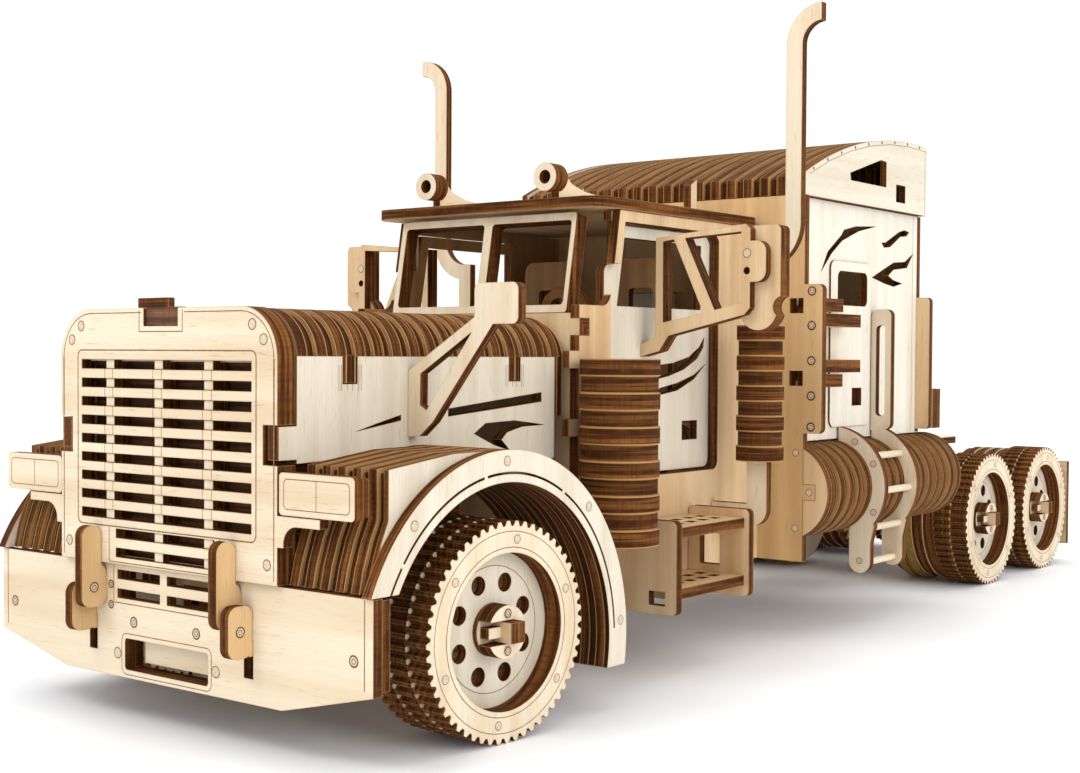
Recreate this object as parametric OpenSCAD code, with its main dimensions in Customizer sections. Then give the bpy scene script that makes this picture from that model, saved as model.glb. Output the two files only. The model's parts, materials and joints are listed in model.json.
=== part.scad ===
// Wooden 3D jigsaw model: a long-nosed road tractor with a sleeper cab, slotted
// together from laser-cut plywood plates. Front of the truck faces -Y, up is +Z.
// All y positions below are measured from the front face of the bumper.

/* [Plywood] */
// thickness of one plywood plate
ply = 2.4; // [2:0.1:3]
// pitch of one thick and one thin rib in a laminated skin
rib_pitch = 5.33; // [4:0.01:6]
// how far the thin ribs sit back from the thick ones
rib_step = 0.8; // [0.4:0.1:1.5]

/* [Chassis] */
// outer face of each long rail from the middle
rail_x = 14.6; // [12:0.1:18]
// underside of the rails
rail_z = 28.2; // [26:0.1:32]
// rear end of the rails
rail_end = 385.8; // [380:0.1:390]

/* [Wheels] */
// radius over the tyre teeth
wheel_r = 22.3; // [20:0.1:24]
// teeth round each tyre
tyre_teeth = 56; // [40:1:60]
// thickness of each toothed layer, two plates
tread_pitch = 5.9; // [4:0.1:7]
// depth of the dished wheel face
dish = 4.6; // [3:0.1:6]
// how far the front wheels stand turned, seen from above
steer = -4.8; // [-18:0.1:18]
// front axle position
front_y = 40; // [36:0.1:43]
// outer face of the front wheels
front_face = 58.6; // [54:0.1:62]
// first rear axle position
rear_y1 = 310.8; // [300:0.1:320]
// second rear axle position
rear_y2 = 362.2; // [356:0.1:368]
// outer face of the rear wheels
rear_face = 50.8; // [48:0.1:54]

/* [Body] */
// half width of the bumper
bumper_w = 58; // [54:0.1:62]
// half width of the hood
hood_w = 34; // [30:0.1:38]
// top of the hood ribs
hood_top = 86.6; // [80:0.1:92]
// outer face of the cab sides
cab_w = 36.3; // [34:0.1:38]
// underside of the cab roof
roof_z = 113.3; // [110:0.1:118]
// front face of the wall behind the cab
wall_y = 176; // [170:0.1:180]
// outer face of the sleeper sides
sleeper_w = 46.5; // [44:0.1:50]
// rear end of the sleeper sides
sleeper_end = 256.8; // [250:0.1:262]

/* [Hidden] */
$fn = 64;
eps = 0.01;
front_end = -6.2;
rear_end = 389;
y_mid = (front_end + rear_end) / 2;
hub_z = wheel_r;
gear_teeth = 24;
gear_module = (rear_y2 - rear_y1) / 2 / gear_teeth;
arch_y = 37.6;
arch_z = 16.7;
tank_x = 44.6;
tank_z = 40.4;
tank_r = 13.2;
kingpin_x = 33.6;
hinge_y = 4.6;
hinge_z = 85.6;

cream = [0.87, 0.77, 0.60];
brown = [0.45, 0.28, 0.15];
tan = [0.80, 0.62, 0.42];

// ---- placing and flat shapes ----

// everything is drawn from the bumper face, then centred on the origin
module truck() {
    translate([0, -y_mid, 0])
        children();
}

// side +1 is the truck's left, drawn as is; side -1 is its mirror image
module on_side(side) {
    if (side < 0)
        mirror([1, 0, 0])
            children();
    else
        children();
}

// a plate whose face is drawn in (y, z), standing from x to x + t
module plate_x(x, t) {
    translate([x, 0, 0])
        rotate([90, 0, 90])
            linear_extrude(t)
                children();
}

// a plate whose face is drawn in (x, z), standing from y to y + t
module plate_y(y, t) {
    translate([0, y + t, 0])
        rotate([90, 0, 0])
            linear_extrude(t)
                children();
}

// a flat plate lying from z to z + t
module plate_z(z, t) {
    translate([0, 0, z])
        linear_extrude(t)
            children();
}

module rect(x0, y0, x1, y1) {
    translate([x0, y0])
        square([x1 - x0, y1 - y0]);
}

module round_rect(x0, y0, x1, y1, r) {
    rect(x0 + r, y0, x1 - r, y1);
    rect(x0, y0 + r, x1, y1 - r);
    for (x = [x0 + r, x1 - r])
        for (y = [y0 + r, y1 - r])
            translate([x, y])
                circle(r);
}

// a straight strip with round ends
module strip(x0, y0, x1, y1, w) {
    run = norm([x1 - x0, y1 - y0]);
    translate([x0, y0])
        rotate(atan2(y1 - y0, x1 - x0)) {
            translate([0, -w / 2])
                square([run, w]);
            circle(w / 2);
            translate([run, 0])
                circle(w / 2);
        }
}

module disc(x, y, r) {
    translate([x, y])
        circle(r);
}

// ---- shared parts ----

// outline of a toothed disc: four points to each tooth
module toothed(r_tip, r_root, teeth, phase) {
    step = 360 / teeth;
    polygon([for (i = [0 : teeth - 1]) for (k = [0 : 3])
        let (a = phase + step * i + step * [-0.38, -0.16, 0.16, 0.38][k],
             r = (k == 0 || k == 3) ? r_root : r_tip)
        [r * cos(a), r * sin(a)]]);
}

// recessed wheel face at x = 0 with a tyre of stacked toothed discs behind it
module wheel(discs, drum, bore) {
    tread = discs * tread_pitch;
    difference() {
        union() {
            for (i = [0 : discs - 1])
                rotate([0, 90, 0])
                    translate([0, 0, -tread_pitch * (i + 1)])
                        linear_extrude(tread_pitch)
                            toothed(wheel_r, wheel_r - 1.05, tyre_teeth, i * 180 / tyre_teeth);
            if (drum > 0)
                rotate([0, 90, 0]) {
                    translate([0, 0, -tread - drum])
                        cylinder(h = drum + eps, r = wheel_r - 1.5);
                    for (i = [0 : floor(drum / 4) - 1])
                        translate([0, 0, -tread - 4 * i - 2.6])
                            cylinder(h = 2.5, r = wheel_r - 0.9);
                }
        }
        // dished face
        rotate([0, 90, 0])
            translate([0, 0, -dish])
                cylinder(h = dish + 1, r = 15.9);
        // hand holes round the hub
        for (k = [0 : 7])
            rotate([45 * k + 22.5, 0, 0])
                translate([-dish - 2.4, 9.9, 0])
                    rotate([0, 90, 0])
                        cylinder(h = 3, r = 1.95);
        rotate([0, 90, 0])
            translate([0, 0, -tread - drum - 1])
                cylinder(h = tread + drum + 1 - dish - 0.6, r = bore);
    }
    // slotted hub, level with the tyre face
    difference() {
        rotate([0, 90, 0])
            translate([0, 0, -dish - eps])
                cylinder(h = dish - 0.1, r = 5.4);
        translate([-3.4, -6, -2.4])
            cube([4, 12, 4.8]);
    }
    // tongue and standing key in the slot
    translate([-dish, -4.4, -1.1])
        cube([dish - 1, 4, 2.2]);
    translate([-dish, -1, -2.1])
        cube([dish + 1.9, 4, 4.2]);
}

// ---- nose ----

module guard_slots() {
    for (s = [-1, 1])
        on_side(s)
            union() {
                rect(19.9, 25.9, 22.5, 31.1);
                rect(23.2, 14.6, 25.9, 22.1);
            }
}

module bumper() color(cream) truck() {
    difference() {
        plate_y(0, ply)
            difference() {
                polygon([[-bumper_w, 15.4], [-34, 9.7], [34, 9.7], [bumper_w, 15.4],
                    [bumper_w, 33.3], [-bumper_w, 33.3]]);
                round_rect(-13.9, 11.4, 12.6, 18, 0.8);
                for (z = [26.2, 30.2])
                    for (x = [-16.4, -0.2])
                        rect(x, z, x + 14, z + 2);
            }
        plate_y(-1, ply + 4)
            guard_slots();
    }
    // second plate behind, seen as a recessed blank number board in the cut-out
    plate_y(ply, ply)
        difference() {
            polygon([[-bumper_w + 0.4, 15.9], [-34, 10.2], [34, 10.2], [bumper_w - 0.4, 15.9],
                [bumper_w - 0.4, 32.9], [-bumper_w + 0.4, 32.9]]);
            rect(-13.9, 11.4, -10.2, 18);
            rect(-10.3, 11.4, 12.6, 12.9);
            rect(-16.4, 25.4, 13.8, 34);
            guard_slots();
        }
}

module bumper_guard(side) color(tan) truck() on_side(side) {
    plate_x(20, ply)
        union() {
            round_rect(-6.2, 24.2, -0.1, 33.2, 2.2);
            round_rect(-6.2, 26, -1.4, 41.4, 2.2);
            rect(-1, 26, 4.6, 31);
        }
    plate_x(23.4, ply)
        union() {
            round_rect(-6.2, 19, -0.1, 29.2, 2.2);
            rect(-1, 19.1, 4.6, 22);
        }
}

module bumper_guard_left() bumper_guard(1);

module bumper_guard_right() bumper_guard(-1);

module nose_outline() {
    rect(-hood_w, 33.6, hood_w, 76.6);
    round_rect(-hood_w, 60, hood_w, 86.8, 10.2);
}

// nose plate with the horizontal slats left standing between slots
module grille_frame() color(cream) truck() {
    plate_y(-1.3, 2.3)
        difference() {
            union() {
                nose_outline();
                for (s = [-1, 1])
                    on_side(s)
                        difference() {
                            union() {
                                rect(33, 42, 45.5, 47);
                                rect(33, 41, 35.7, 42.1);
                            }
                            disc(39.2, 41.7, 3.5);
                            rect(39.2, 41, 46, 45.2);
                        }
            }
            for (i = [0 : 8])
                rect(-26.8, 42.9 + 3.92 * i, 26.8, 44.9 + 3.92 * i);
            for (z = [35, 39])
                rect(-15.2, z, 16, z + 2);
            for (s = [-1, 1])
                on_side(s)
                    rect(30, 56.4, 35, 64.1);
            rect(-6, 83.1, 4.9, 88);
        }
    plate_y(1, 2.3)
        difference() {
            nose_outline();
            rect(-28.6, 42.5, 28.6, 77.5);
            rect(-19.5, 34.4, 19.5, 42.6);
            for (s = [-1, 1])
                on_side(s)
                    rect(30, 56.4, 35, 64.1);
        }
    // lugs that carry the hood's hinge pins
    for (s = [-1, 1])
        on_side(s)
            plate_x(18.6, ply)
                difference() {
                    union() {
                        disc(hinge_y, hinge_z, 1.15);
                        rect(3.1, hinge_z - 1.15, hinge_y, hinge_z);
                    }
                    disc(hinge_y, hinge_z, 0.65);
                }
}

// three uprights behind the slats, their blocks filling the slots
module grille_bars() color(cream) truck() {
    plate_y(1.1, 1.8)
        union() {
            for (x = [-17.5, -1.6, 13.8])
                rect(x - 1.3, 34.6, x + 1.3, 77.3);
            rect(-28.4, 75.9, 28.4, 77.4);
            rect(-19, 34.5, 19, 35.1);
        }
    for (x = [-17.5, -1.6, 13.8])
        for (i = [0 : 8])
            translate([x - 1.3, -0.9, 43 + 3.92 * i])
                cube([2.6, 2.1, 1.8]);
    for (x = [-1.6, 13.8])
        for (z = [35.1, 39.1])
            translate([x - 1.3, -0.9, z])
                cube([2.6, 2.1, 1.8]);
}

module hood_latch() color(brown) truck() {
    plate_y(-0.7, 1.6)
        rect(-5.9, 83.2, 4.8, 87);
    plate_y(-0.7, 1.6)
        rect(-8.5, 86.9, 1.2, 88.9);
}

module headlight(side) color(cream) truck() on_side(side) {
    plate_y(-1.1, 2.3)
        round_rect(34.3, 47.2, 54.3, 55.3, 0.9);
    plate_y(1.2, 1.9)
        round_rect(34.8, 47.6, 53.9, 54.9, 0.9);
}

module headlight_left() headlight(1);

module headlight_right() headlight(-1);

// fender side view; inset draws the smaller plates between the large ones
module fender_outline(inset) {
    difference() {
        union() {
            intersection() {
                disc(arch_y, arch_z, 42.1 - inset);
                rect(arch_y, 9.6, arch_y + 50, 70);
            }
            intersection() {
                disc(arch_y, arch_z, 42.1 - inset);
                rect(arch_y - 20, 33.6, arch_y + 1, 70);
            }
            polygon([[1.4 + inset, 33.6], [2.4 + inset, 38], [4.1 + inset, 43], [6 + inset, 47],
                [6 + inset, 56.4 - inset], [24, 58.5 - inset], [34, 58.6 - inset], [34, 33.6]]);
        }
        disc(arch_y, arch_z, 35.6);
    }
}

module fender(side) color(cream) truck() on_side(side) {
    // laminated ribs, large and small by turns
    for (i = [0 : 4])
        plate_x(34.6 + 4.07 * i, 2.3)
            fender_outline(0);
    for (i = [0 : 4])
        plate_x(36.8 + 4.07 * i, 2)
            fender_outline(rib_step);
    // side plate, then the arch ring on its outside
    plate_x(54.8, 1.2)
        fender_outline(0);
    plate_x(56, 2.4)
        difference() {
            union() {
                intersection() {
                    disc(arch_y, arch_z, 42.1);
                    rect(arch_y, 9.6, arch_y + 50, 70);
                }
                intersection() {
                    disc(arch_y, arch_z, 42.1);
                    rect(arch_y - 50, 33.6, arch_y + 1, 70);
                }
            }
            disc(arch_y, arch_z, 35.6);
            // long slit that follows the arch, left in three parts
            difference() {
                disc(arch_y, arch_z, 37.7);
                disc(arch_y, arch_z, 37.2);
                rect(-20, -30, 80, 18);
                for (a = [60, 100, 144])
                    translate([arch_y, arch_z])
                        rotate(a)
                            translate([30, -0.5])
                                square([10, 1]);
            }
        }
}

module fender_left() fender(1);

module fender_right() fender(-1);

// ---- hood, tilts up as one ----

module hood_arch(inset) {
    w = hood_w - inset;
    r = 10.2 - inset;
    intersection() {
        union() {
            rect(-w, 77.2, w, hood_top - inset - r);
            rect(-w + r, 77.2, w - r, hood_top - inset);
            for (s = [-1, 1])
                disc(s * (w - r), hood_top - inset - r, r);
        }
        rect(-40, 77.2, 40, 90);
    }
}

module hood_rib(inset) {
    difference() {
        hood_arch(inset);
        rect(-24, 70, 24, 82);
        rect(-29, 70, 29, 78);
        for (s = [-1, 1])
            disc(s * 24, 77, 5);
    }
    for (s = [-1, 1])
        on_side(s)
            rect(29, 70, 30.9, 78);
}

module hood_ribs() color(brown) truck() {
    // first rib, slotted for the two hinge lugs of the nose plate
    difference() {
        plate_y(3.9, 2.6)
            hood_rib(0);
        for (s = [-1, 1])
            on_side(s)
                translate([18.2, 3, 84.1])
                    cube([3.2, 3.3, 4]);
    }
    for (s = [-1, 1])
        on_side(s)
            translate([17.4, hinge_y, hinge_z])
                rotate([0, 90, 0])
                    cylinder(h = 4.8, r = 0.6);
    for (i = [1 : 15])
        plate_y(3.6 + rib_pitch * i, 2.9)
            hood_rib(0);
    for (i = [0 : 15])
        plate_y(6.4 + rib_pitch * i, 2.6)
            hood_rib(rib_step);
    // two tongues that drop into the notches of each side panel
    for (s = [-1, 1])
        on_side(s)
            for (y = [16.2, 68.3])
                translate([30.9, y, 71.9])
                    cube([2.9, 3.6, 5.6]);
    // rear frame reaching down over the panel ends
    plate_y(85.2, 3)
        for (s = [-1, 1])
            on_side(s)
                rect(30.9, 63.4, hood_w - 0.5, 77.6);
}

module hood_panel(side) color(cream) truck() on_side(side)
    plate_x(31, 3)
        difference() {
            polygon([[3.7, 77.2], [84.9, 77.2], [84.9, 54], [78, 50], [62, 50], [40, 57.5], [3.7, 56.6],
                [3.7, 57.4], [-0.9, 57.4], [-0.9, 63.8], [3.7, 63.8]]);
            rect(15.9, 71.7, 20.1, 78);
            rect(68, 71.7, 72.2, 78);
            // flame cuts
            polygon([[19.1, 62.1], [32.8, 64], [32.8, 65.2], [26, 63.7]]);
            polygon([[47.5, 64.4], [80, 66.9], [80, 69.1], [47.5, 66.1]]);
            polygon([[56, 60.4], [60, 62.6], [70, 62.9], [81.4, 61.6], [73, 61.4], [67.5, 60.3],
                [65.6, 58.7], [68.6, 56.2], [63, 57.6]]);
        }

module hood_panel_left() hood_panel(1);

module hood_panel_right() hood_panel(-1);

// mirror on a raked bracket, fitted to the left hood panel only
module fender_mirror() color(tan) truck()
    plate_y(34.8, ply)
        difference() {
            union() {
                polygon([[34.1, 74.3], [34.1, 60.6], [37.3, 60.8], [40.9, 63.8], [57.1, 84.2],
                    [53, 86], [51.5, 84.9]]);
                round_rect(52, 83.8, 63.2, 92, 1.4);
            }
            polygon([[37.5, 73.7], [37.4, 67.2], [39.2, 66.2], [51.4, 82.3]]);
        }

// ---- chassis ----

module chassis_frame() color(tan) truck() {
    // long rails with hangers round the rear axles and the idler gear
    for (s = [-1, 1])
        on_side(s)
            plate_x(rail_x - ply, ply)
                difference() {
                    union() {
                        rect(5, rail_z, rail_end, 36.2);
                        for (y = [rear_y1, rear_y2])
                            round_rect(y - 7, 15.5, y + 7, 32, 3);
                        round_rect((rear_y1 + rear_y2) / 2 - 6, 16.5, (rear_y1 + rear_y2) / 2 + 6, 32, 3);
                    }
                    for (y = [rear_y1, rear_y2])
                        disc(y, hub_z, 2.05);
                    disc((rear_y1 + rear_y2) / 2, hub_z, 2.05);
                }
    // cross members
    for (y = [12, 48, 84, 120, 156, 192, 228, 264])
        translate([-rail_x + ply, y, rail_z])
            cube([2 * (rail_x - ply), ply, 8]);
    for (y = [290, 384 - ply])
        translate([-rail_x + ply, y, rail_z])
            cube([2 * (rail_x - ply), ply, 8]);
    // rear deck, open over the gears
    plate_z(36.1, ply)
        difference() {
            rect(-21.4, 262.5, 21.4, rail_end);
            rect(-7, 296, 7, 378);
        }
    // fifth wheel cheeks
    for (s = [-1, 1])
        on_side(s)
            plate_x(16.4, ply)
                difference() {
                    union() {
                        disc(336, 41.6, 3.6);
                        rect(331, 37, 341, 40.4);
                    }
                    disc(336, 41.6, 1.55);
                }
    // body outriggers that carry the side walls
    for (y = [120.1, 216.1])
        plate_y(y, ply)
            rect(-rail_x - 16, 28.2, rail_x + 16, 36);
}

module front_axle() color(tan) truck() {
    difference() {
        union() {
            translate([-kingpin_x, front_y - 3.4, 18])
                cube([2 * kingpin_x, 6.8, 10.1]);
            for (s = [-1, 1])
                translate([s * kingpin_x, front_y, 18])
                    cylinder(h = 10.1, r = 3.4);
        }
        for (s = [-1, 1])
            translate([s * kingpin_x, front_y, 10])
                cylinder(h = 30, r = 1.55);
    }
}

// turns a steered part about its kingpin
module steered(side) {
    translate([side * kingpin_x, front_y, 0])
        rotate(steer)
            on_side(side)
                children();
}

module knuckle(side) color(tan) truck() steered(side) {
    // two lugs above and below the beam end, joined outside it
    for (z = [15.4, 28.3])
        translate([-3.4, -3.6, z])
            cube([10, 7.2, 2.4]);
    translate([3.7, -3.6, 15.4])
        cube([2.7, 7.2, 15.3]);
    translate([0, 0, 15.4])
        cylinder(h = 15.3, r = 1.5);
    // stub axle
    translate([6, 0, hub_z])
        rotate([0, 90, 0])
            cylinder(h = 13.6, r = 2);
    // steering arm and its pin
    translate([-1.5, 3, 15.4])
        cube([3, 12.5, 2.4]);
    translate([0, 14, 12.4])
        cylinder(h = 4, r = 1);
}

module knuckle_left() knuckle(1);

module knuckle_right() knuckle(-1);

module tie_rod() color(cream) truck()
    translate([-14 * sin(steer), 0, 0])
        plate_z(12.6, ply)
            difference() {
                strip(-kingpin_x, front_y + 14, kingpin_x, front_y + 14, 6);
                for (s = [-1, 1])
                    strip(s * kingpin_x, front_y + 13.3, s * kingpin_x, front_y + 14.1, 2.2);
            }

module front_wheel(side) color(cream) truck() steered(side)
    translate([front_face - kingpin_x, 0, hub_z])
        wheel(3, 0, 2.05);

module front_wheel_left() front_wheel(1);

module front_wheel_right() front_wheel(-1);

module rear_wheel(side, y) color(cream) truck() on_side(side)
    translate([rear_face, y, hub_z])
        wheel(2, 17.1, 2);

module rear_wheel_left_1() rear_wheel(1, rear_y1);

module rear_wheel_right_1() rear_wheel(-1, rear_y1);

module rear_wheel_left_2() rear_wheel(1, rear_y2);

module rear_wheel_right_2() rear_wheel(-1, rear_y2);

module gear(phase) {
    pitch_r = gear_module * gear_teeth / 2;
    rotate([0, 90, 0])
        translate([0, 0, -1.5])
            linear_extrude(3)
                difference() {
                    gear_outline(pitch_r, phase);
                    for (k = [0 : 4])
                        disc(7.2 * cos(72 * k), 7.2 * sin(72 * k), 2);
                }
}

// straight-flanked teeth, thin enough to run with play
module gear_outline(pitch_r, phase) {
    step = 360 / gear_teeth;
    m = gear_module;
    polygon([for (i = [0 : gear_teeth - 1]) for (k = [0 : 3])
        let (a = phase + step * i + step * [-0.27, -0.11, 0.11, 0.27][k],
             r = (k == 0 || k == 3) ? pitch_r - 1.15 * m : pitch_r + 0.85 * m)
        [r * cos(a), r * sin(a)]]);
}

module rear_axle(y) color(tan) truck()
    translate([0, y, hub_z]) {
        rotate([0, 90, 0])
            translate([0, 0, -45])
                cylinder(h = 90, r = 2);
        gear(90);
        for (x = [-4.5, 1.4])
            rotate([0, 90, 0])
                translate([0, 0, x])
                    cylinder(h = 3.1, r = 4.4);
    }

module rear_axle_front() rear_axle(rear_y1);

module rear_axle_rear() rear_axle(rear_y2);

module idler_gear() color(brown) truck()
    translate([0, (rear_y1 + rear_y2) / 2, hub_z]) {
        gear(90 + 180 / gear_teeth);
        rotate([0, 90, 0])
            translate([0, 0, -rail_x])
                cylinder(h = 2 * rail_x, r = 2);
    }

// grip bands stretched over the inner drums of the first rear axle
module rubber_bands() color([0.42, 0.40, 0.10]) truck()
    for (s = [-1, 1])
        for (x = [24.2, 28.2])
            translate([s * x, rear_y1, hub_z])
                rotate([0, 90 * s, 0])
                    difference() {
                        cylinder(h = 2.6, r = wheel_r - 0.2);
                        translate([0, 0, -1])
                            cylinder(h = 5, r = wheel_r - 0.88);
                    }

module rear_flap() color(tan) truck()
    plate_y(rail_end + 0.8, ply)
        difference() {
            rect(-50.5, 6.6, 50.5, 38);
            rect(-14, 0, 14, 28);
            for (s = [-1, 1])
                disc(s * 30, 32, 1.1);
        }

// upper coupling plate that rocks on its cheeks
module fifth_wheel() color(cream) truck() {
    plate_z(45.6, ply)
        difference() {
            round_rect(-21.5, 318, 21.5, 354, 6);
            disc(0, 338, 3.2);
            polygon([[-3, 338], [3, 338], [11, 356], [-11, 356]]);
        }
    // tongue under the plate with its cross pin
    for (s = [-1, 1])
        on_side(s) {
            plate_x(11.6, ply)
                round_rect(332, 39.4, 340, 45.8, 1.5);
            translate([13.5, 336, 41.6])
                rotate([0, 90, 0])
                    cylinder(h = 5.2, r = 1.5);
        }
}

// ---- engine bay and cab ----

module engine_block() color(tan) truck() {
    translate([-11, 14, 36.4])
        cube([22, 64, 20]);
    for (i = [0 : 5])
        translate([-8, 16 + 10 * i, 56.3])
            cube([16, 7.4, 8]);
    // fan on the front
    translate([0, 10.4, 50])
        rotate([-90, 0, 0])
            cylinder(h = 1.6, r = 11);
    translate([0, 10.4, 50])
        rotate([-90, 0, 0])
            cylinder(h = 4, r = 3);
}

module firewall() color(tan) truck() {
    plate_y(91.5, ply)
        difference() {
            rect(-33.6, 30, 33.6, 87.7);
            rect(-14.9, 29, 14.9, 36.5);
            disc(15, 60, 3);
        }
    // filler plate that closes the back of the hood
    plate_y(90.2, 1.4)
        rect(-27.6, 45, 27.6, 77.4);
    // cowl shelf under the windshield
    plate_z(84.4, ply)
        rect(-33.6, 93.8, 33.6, 103);
    // tabs that lock into the cab sides
    for (s = [-1, 1])
        on_side(s)
            translate([32.2, 91.5, 82.4])
                cube([4.1, 3.9, 4]);
}

module windshield_frame() color(cream) truck()
    translate([0, 96.4, 88])
        rotate([-10, 0, 0])
            plate_y(0, 4.4)
                difference() {
                    round_rect(-28.6, 0, 28.6, 24.8, 0.8);
                    round_rect(-27, 1.9, -0.3, 22.9, 1);
                    round_rect(2.3, 1.9, 27.3, 22.9, 1);
                }

// front edge has two fingers beside the hood, and a quarter window above
module cab_side_outline() {
    difference() {
        union() {
            polygon([[91.4, 29], [91.4, 89.6], [104, 89.6], [104.4, 92.3], [108, 113.1],
                [wall_y - 0.1, 113.1], [wall_y - 0.1, 21.4], [112, 21.4]]);
            polygon([[101, 89.5], [105, 89.5], [105, 94], [104.7, 93.4], [103.7, 91.2], [102.6, 90.1]]);
            for (z = [58.6, 74.6])
                rect(89.4, z, 91.5, z + 4.1);
        }
        rect(91, 82.3, 95.5, 86.5);
    }
}

module door_outline(gap) {
    round_rect(104.6 - gap, 47.8 - gap, 153.7 + gap, 100, 2.4);
    polygon([[104.6 - gap, 60], [104.6 - gap, 77], [110.5 - gap, 110 + gap],
        [151.7 + gap, 110 + gap], [153.7 + gap, 108 + gap], [153.7 + gap, 60]]);
}

module cab_side(side) color(cream) truck() on_side(side) {
    plate_x(cab_w - ply, ply)
        difference() {
            cab_side_outline();
            door_outline(0.35);
        }
    // fingers run on beside the hood
    plate_x(cab_w - 1.9, 1.9)
        for (z = [58.6, 74.6])
            rect(87.5, z, 89.5, z + 4.1);
    // hinge sockets above and below the door, just inside the wall
    for (z = [43.4, 110.6])
        translate([31.6, 107.5, z])
            difference() {
                cube([2.4, 4, 2.4]);
                translate([0.9, 2, -1])
                    cylinder(h = 6, r = 0.95);
            }
}

module cab_side_left() cab_side(1);

module cab_side_right() cab_side(-1);

module door(side) color(cream) truck() on_side(side) {
    plate_x(31.3, ply)
        difference() {
            door_outline(-0.3);
            polygon([[113.5, 106.8], [149.1, 106.8], [149.1, 89.8], [110.4, 89.8]]);
            rect(140.4, 55.6, 147.8, 60.6);
            // flame cuts
            polygon([[122, 69.8], [127, 71.4], [134, 72.4], [141, 74], [147.5, 76.8], [150.6, 79.8],
                [151.2, 82.8], [148.6, 80], [143.6, 77.4], [136, 75.8], [128.4, 75.2], [123, 73]]);
            polygon([[124.6, 67.2], [130, 69.4], [138, 70.6], [146, 72.6], [152.4, 75.8],
                [146, 71.4], [138, 68.6], [130, 67.6]]);
        }
    // hinge pins in the sockets of the cab side
    translate([32.5, 109.5, 43.4])
        cylinder(h = 69.6, r = 0.9);
}

module door_left() door(1);

module door_right() door(-1);

// door mirror: slotted frame on the door, mirror board on its outer end
module door_mirror(side) color(tan) truck() on_side(side) {
    plate_y(120.8, 4)
        difference() {
            union() {
                polygon([[38.2, 107], [38.2, 82.2], [33.7, 80.4], [33.7, 77.4], [39.4, 78.8],
                    [42, 82.6], [63.6, 87.6], [65.1, 89.2], [65.1, 108.2], [63.8, 109.3]]);
                round_rect(61.6, 95.4, 69.4, 105.2, 2.6);
            }
            polygon([[40.3, 106], [43.5, 106.4], [52.1, 88.2], [40.4, 85.9]]);
            polygon([[46.7, 106.6], [62.6, 107.5], [62.7, 90.5], [55.3, 88.8]]);
            disc(64.2, 98.1, 0.9);
        }
    plate_y(123.2, 4.4)
        difference() {
            union() {
                round_rect(63.4, 88, 72, 109, 1.4);
                disc(66, 89, 5.1);
            }
            disc(72.6, 89.4, 2.6);
        }
}

module mirror_left() door_mirror(1);

module mirror_right() door_mirror(-1);

module cab_roof() color(brown) truck()
    plate_z(roof_z, 2.6)
        round_rect(-37, 97.6, 37, wall_y - 0.2, 5.5);

// pair of air horns lying back along the roof
module roof_horns() color(tan) truck()
    for (s = [-1, 1])
        translate([s * 19.6, 0, 0]) {
            translate([0, 99.4, 121.4])
                rotate([-90, 0, 0])
                    difference() {
                        cylinder(h = 4.8, r = 3.5);
                        translate([0, 0, -1])
                            cylinder(h = 7, r = 1.7);
                    }
            plate_x(-1.2, ply)
                polygon([[103.6, 116], [103.6, 123.8], [106, 122.6], [109, 120.4], [114, 119], [122, 118.2],
                    [164.4, 117.3], [164.4, 125.2], [167.4, 126.9], [167.4, 116]]);
        }

module cab_floor() color(tan) truck() {
    plate_z(38.8, ply)
        union() {
            rect(-33.5, 94.2, 33.5, wall_y - 0.2);
            rect(-12, wall_y - 1, 12, wall_y + 4);
            rect(-30.8, wall_y + ply + 0.1, 30.8, sleeper_end - 0.2);
        }
}

module seats() color(tan) truck()
    for (s = [-1, 1])
        translate([s * 15.5, 0, 0]) {
            translate([-9, 128, 41.3])
                cube([18, 20, 26]);
            plate_y(147.5, ply)
                difference() {
                    round_rect(-9, 50, 9, 104, 3);
                    round_rect(-4, 90, 4, 96, 1);
                }
        }

module steering_wheel() color(brown) truck()
    translate([17.5, 112, 87])
        rotate([-62, 0, 0]) {
            linear_extrude(ply)
                union() {
                    difference() {
                        circle(8);
                        circle(5.9);
                    }
                    for (k = [0 : 2])
                        rotate(120 * k + 90 + 3 * steer)
                            translate([0, -1.1])
                                square([6.4, 2.2]);
                }
            translate([0, 0, -9])
                cylinder(h = 10, r = 1.6);
        }

// ---- outside of the cab ----

module air_cleaner(side) color(brown) truck() on_side(side) {
    for (i = [0 : 10])
        translate([47.5, 92.2, 34 + 3.9 * i])
            cylinder(h = 3.92, r = (i % 2 == 0) ? 9.35 : 8.95);
    // arm back to the cab side
    translate([cab_w, 92.4, 52])
        cube([4, 2.8, 12]);
}

module air_cleaner_left() air_cleaner(1);

module air_cleaner_right() air_cleaner(-1);

module step(side) color(tan) truck() on_side(side) {
    plate_y(106.2, ply)
        difference() {
            round_rect(36.5, 15.9, 54.4, 38.4, 1.4);
            rect(46.6, 18, 51.2, 21.4);
        }
    plate_y(139.6, ply)
        difference() {
            round_rect(36.5, 16.6, 54.6, 38.8, 1.4);
            rect(40, 24, 46, 32);
        }
    for (z = [19.4, 34])
        plate_z(z, 2.6)
            difference() {
                rect(37, 108.4, 53.2, 139.8);
                for (i = [0 : 4])
                    for (k = [0 : 1])
                        translate([41 + 5 * k, 112 + 5.6 * i - 1.4 * k])
                            square([2.6, 3.2]);
            }
}

module step_left() step(1);

module step_right() step(-1);

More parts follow.
